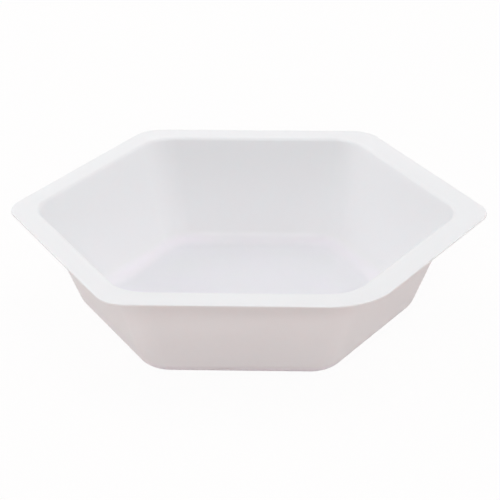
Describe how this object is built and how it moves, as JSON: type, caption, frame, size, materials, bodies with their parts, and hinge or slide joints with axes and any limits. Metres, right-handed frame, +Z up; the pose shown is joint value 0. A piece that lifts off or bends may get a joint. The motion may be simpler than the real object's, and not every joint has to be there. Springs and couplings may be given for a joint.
{
  "type": "weighing boat",
  "caption": "Open hexagonal dish with sloping walls, a flat base and a flat flange, formed from one thin sheet, for holding a sample while it is weighed and poured.",
  "frame": {"origin": "middle of the flange's trimmed outline, on the plane that the base stands on", "axes": "+Z up out of the opening; X runs through two opposite corners of the hexagon, and the wider corner of the flange is on the side of +X and -Y; Y runs across two flat sides"},
  "size_m": [0.1016, 0.09, 0.0232],
  "materials": {
    "sheet": "white high-impact polystyrene sheet, vacuum formed, satin"
  },
  "bodies": {
    "root": {"weighing_boat": "sheet"}
  },
  "joints": []
}
